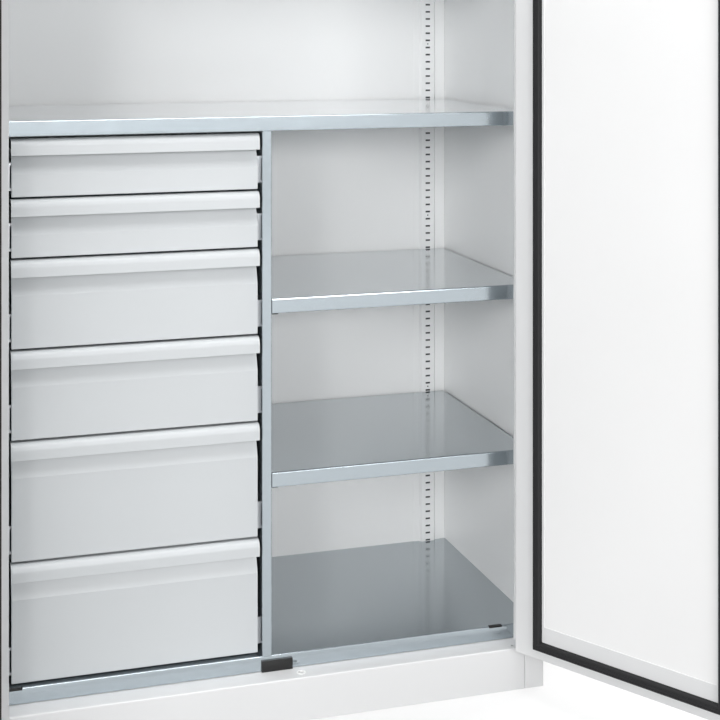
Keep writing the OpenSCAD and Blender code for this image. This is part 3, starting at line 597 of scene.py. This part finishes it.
class CABINET_OT_stage(bpy.types.Operator):
    """Makes the floor, the light and the camera"""
    bl_idname = "cabinet.stage"
    bl_label = "Stage"

    def execute(self, context):
        stage = context.scene.cabinet_stage
        self.floor(stage.glow_near, stage.foot_shade)
        self.world(stage.ambient)
        self.lamp("front_lamp_left", (-3.8, -5.2, 2.0), 3.0, 2.2, stage.left_power)
        self.lamp("front_lamp_middle", (-0.9, -6.2, 1.7), 3.0, 1.2, stage.middle_power)
        self.lamp("front_lamp_right", (0.9, -6.2, 1.7), 3.0, 1.2, stage.right_power)
        self.lamp("high_lamp", (0.2, -1.8, 4.5), 2.5, 2.0, stage.high_power)
        self.lamp("top_lamp", (0.0, 0.6, 5.0), 2.5, 2.5, stage.top_power)
        for name, x in (("back_lamp_left", -5.2), ("back_lamp_right", 5.2)):
            self.lamp(name, (x, 2.8, 2.4), 3.0, 3.0, stage.back_power)
        self.camera()
        context.scene.view_settings.view_transform = "Standard"
        return {"FINISHED"}

    def seen(self, nodes, links):
        """1 for camera, glossy and transmission rays."""
        path = nodes.new("ShaderNodeLightPath")
        value = path.outputs["Is Camera Ray"]
        for name in ("Is Glossy Ray", "Is Transmission Ray"):
            value = maths(nodes, links, "MAXIMUM", value, path.outputs[name])
        return value

    def part_rays(self, nodes, links, unseen, seen, target):
        """Shows one shader to the rays of seen(), and another to the rest."""
        choose = nodes.new("ShaderNodeMixShader")
        links.new(self.seen(nodes, links), choose.inputs["Fac"])
        links.new(unseen, choose.inputs[1])
        links.new(seen, choose.inputs[2])
        links.new(choose.outputs[0], target)

    def floor(self, near, shade):
        bm = bmesh.new()
        bmesh.ops.create_grid(bm, x_segments=1, y_segments=1, size=FLOOR_HALF,
                              matrix=Matrix.Translation((0, 0, -FLOOR_DROP)))
        mesh = bpy.data.meshes.new("floor")
        bm.to_mesh(mesh)
        bm.free()
        obj = placed("floor", mesh)
        mat, nodes, links, shader, coords = new_material("pale_floor")
        cloud = noise(nodes, links, coords, 0.8)
        links.new(tint(nodes, links, cloud, (0.25, 0.25, 0.25), (0.27, 0.27, 0.27)),
                  shader.inputs["Base Color"])
        shader.inputs["Roughness"].default_value = 0.9
        glow = nodes.new("ShaderNodeEmission")
        links.new(self.glow_level(nodes, links, coords, near, shade), glow.inputs["Strength"])
        both = nodes.new("ShaderNodeAddShader")
        links.new(shader.outputs[0], both.inputs[0])
        links.new(glow.outputs[0], both.inputs[1])
        self.part_rays(nodes, links, shader.outputs[0], both.outputs[0],
                       nodes["Material Output"].inputs["Surface"])
        dress(obj, mat)

    def glow_level(self, nodes, links, coords, near, shade):
        """The floor's glow: white far off, less close by and least under the cabinet, a painted
        shadow.
        """
        away = nodes.new("ShaderNodeVectorMath")
        away.operation = "LENGTH"
        links.new(coords.outputs["Object"], away.inputs[0])
        level = nodes.new("ShaderNodeMapRange")
        level.inputs["From Min"].default_value = 2.5
        level.inputs["From Max"].default_value = 8.0
        level.inputs["To Min"].default_value = near
        level.inputs["To Max"].default_value = 1.0
        links.new(away.outputs["Value"], level.inputs["Value"])
        place = nodes.new("ShaderNodeMapping")
        place.inputs["Location"].default_value = (0, -SHADE_Y / SHADE_RADII[1], 0)
        place.inputs["Scale"].default_value = (1 / SHADE_RADII[0], 1 / SHADE_RADII[1], 1)
        links.new(coords.outputs["Object"], place.inputs["Vector"])
        fade = nodes.new("ShaderNodeTexGradient")
        fade.gradient_type = "QUADRATIC_SPHERE"
        links.new(place.outputs["Vector"], fade.inputs["Vector"])
        taken = maths(nodes, links, "MULTIPLY", fade.outputs["Fac"], shade)
        return maths(nodes, links, "SUBTRACT", level.outputs["Result"], taken)

    def world(self, ambient):
        world = bpy.data.worlds.new("studio")
        bpy.context.scene.world = world
        world.use_nodes = True
        nodes, links = world.node_tree.nodes, world.node_tree.links
        soft = nodes["Background"]
        soft.inputs["Color"].default_value = (1, 1, 1, 1)
        soft.inputs["Strength"].default_value = ambient
        white = nodes.new("ShaderNodeBackground")
        white.inputs["Color"].default_value = (1, 1, 1, 1)
        white.inputs["Strength"].default_value = 1.0
        self.part_rays(nodes, links, soft.outputs[0], white.outputs[0],
                       nodes["World Output"].inputs["Surface"])

    def lamp(self, name, spot, width, height, power):
        data = bpy.data.lights.new(name, "AREA")
        data.shape = "RECTANGLE"
        data.size, data.size_y = width, height
        data.energy = power
        obj = placed(name, data)
        obj.location = spot
        aim = LAMP_AIM - Vector(spot)
        obj.rotation_euler = aim.to_track_quat("-Z", "Y").to_euler()

    def camera(self):
        data = bpy.data.cameras.new("photo_camera")
        data.sensor_width = 36.0
        data.lens = LENS
        data.shift_y = HORIZON_SHIFT
        data.clip_start = 0.05
        data.clip_end = 100.0
        obj = placed("photo_camera", data)
        obj.location = EYE
        obj.rotation_euler = (math.pi / 2, 0, math.radians(EYE_TURN))
        bpy.context.scene.camera = obj


class CABINET_PT_sidebar(bpy.types.Panel):
    """Lists the cabinet's steps and settings"""
    bl_label = "Storage cabinet"
    bl_idname = "CABINET_PT_sidebar"
    bl_space_type = "VIEW_3D"
    bl_region_type = "UI"
    bl_category = "Cabinet"

    def draw(self, context):
        for group in (context.scene.cabinet_looks, context.scene.cabinet_stage):
            for name in group.__annotations__:
                self.layout.prop(group, name)
        for operator in OPERATORS:
            self.layout.operator(operator.bl_idname)


OPERATORS = (CABINET_OT_finishes, CABINET_OT_seals, CABINET_OT_handle, CABINET_OT_stops,
             CABINET_OT_bushes, CABINET_OT_stage)
CLASSES = (CabinetLooks, CabinetStage, *OPERATORS, CABINET_PT_sidebar)


def register():
    for cls in CLASSES:
        bpy.utils.register_class(cls)
    bpy.types.Scene.cabinet_looks = bpy.props.PointerProperty(type=CabinetLooks)
    bpy.types.Scene.cabinet_stage = bpy.props.PointerProperty(type=CabinetStage)


def unregister():
    del bpy.types.Scene.cabinet_stage
    del bpy.types.Scene.cabinet_looks
    for cls in reversed(CLASSES):
        bpy.utils.unregister_class(cls)


def main():
    register()
    bpy.ops.cabinet.finishes()
    bpy.ops.cabinet.seals()
    bpy.ops.cabinet.handle()
    bpy.ops.cabinet.stops()
    bpy.ops.cabinet.bushes()
    bpy.ops.cabinet.stage()


if __name__ == "__main__":
    main()
